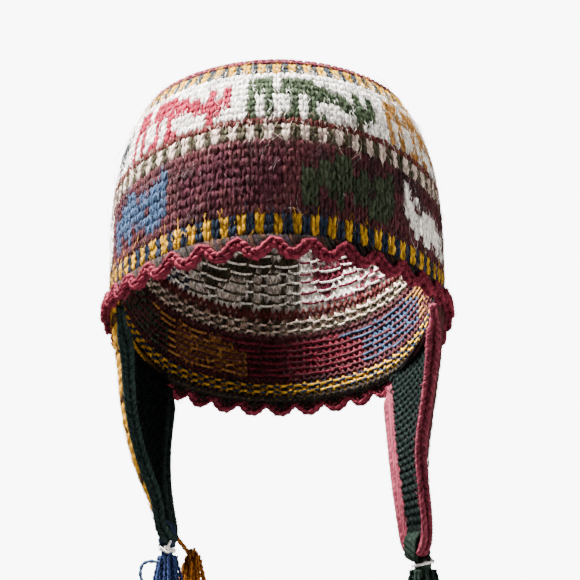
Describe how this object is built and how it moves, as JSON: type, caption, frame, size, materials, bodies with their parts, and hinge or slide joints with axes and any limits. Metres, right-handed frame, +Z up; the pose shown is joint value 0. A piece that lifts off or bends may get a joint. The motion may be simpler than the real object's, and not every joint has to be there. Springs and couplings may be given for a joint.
{
  "type": "knitted headband with ear flaps",
  "caption": "Knitted wool headband, open at the crown, with two ear flaps, crocheted edges, yarn ties and tassels, shaped as worn.",
  "frame": {"origin": "middle of the head hollow at the level where the head is widest", "axes": "+Z up as worn, -Y the way the wearer faces, +X the wearer's left"},
  "size_m": [0.1676, 0.1992, 0.2918],
  "materials": {
    "band_wool": "knitted brushed wool in many colours",
    "crimson_crochet": "crocheted wool cord",
    "mustard_flap_wool": "knitted brushed wool",
    "brown_flap_wool": "knitted brushed wool",
    "green_crochet": "crocheted wool cord",
    "white_yarn": "wound wool yarn",
    "blue_yarn": "plied wool yarn",
    "orange_yarn": "fuzzy wool yarn",
    "green_yarn": "fuzzy wool yarn"
  },
  "bodies": {
    "root": {"knit_band": "band_wool", "rim_edging": "crimson_crochet", "top_edging": "crimson_crochet", "right_ear_flap": "mustard_flap_wool", "left_ear_flap": "brown_flap_wool", "right_flap_border": "green_crochet", "left_flap_border": "crimson_crochet", "right_tassel_tie": "white_yarn", "left_tassel_tie": "white_yarn", "right_tassel": "blue_yarn", "right_rear_tassel": "orange_yarn", "left_tassel": "green_yarn"}
  },
  "joints": []
}
